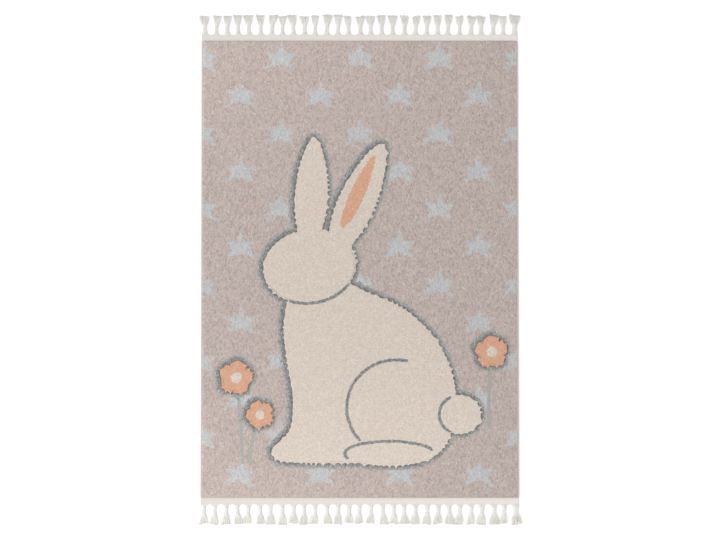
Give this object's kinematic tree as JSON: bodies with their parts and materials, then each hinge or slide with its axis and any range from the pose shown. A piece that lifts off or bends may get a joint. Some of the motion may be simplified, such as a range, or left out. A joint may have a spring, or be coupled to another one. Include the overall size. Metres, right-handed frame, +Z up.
{
  "type": "kids rug with a rabbit motif",
  "caption": "Flat rectangular children's rug with a raised sitting rabbit and flowers in its pile, whipped long sides and a knotted tassel fringe along each short end.",
  "frame": {"origin": "middle of the underside, on the floor", "axes": "+X across the rug to the right as the picture shows it, +Y along the rug to the end at the picture's top, +Z up out of the pile"},
  "size_m": [1.6179, 2.564, 0.016],
  "materials": {
    "woven_pile": "soft cut pile in two heights, heathered pink-beige ground with a cream motif",
    "whipping_yarn": "yarn wrapped closely round the edge, matt",
    "fringe_yarn": "off-white cotton tape and yarn, matt"
  },
  "bodies": {
    "root": {"pile_rug": "woven_pile", "whipping_left": "whipping_yarn", "whipping_right": "whipping_yarn", "fringe_top": "fringe_yarn", "fringe_bottom": "fringe_yarn"}
  },
  "joints": []
}
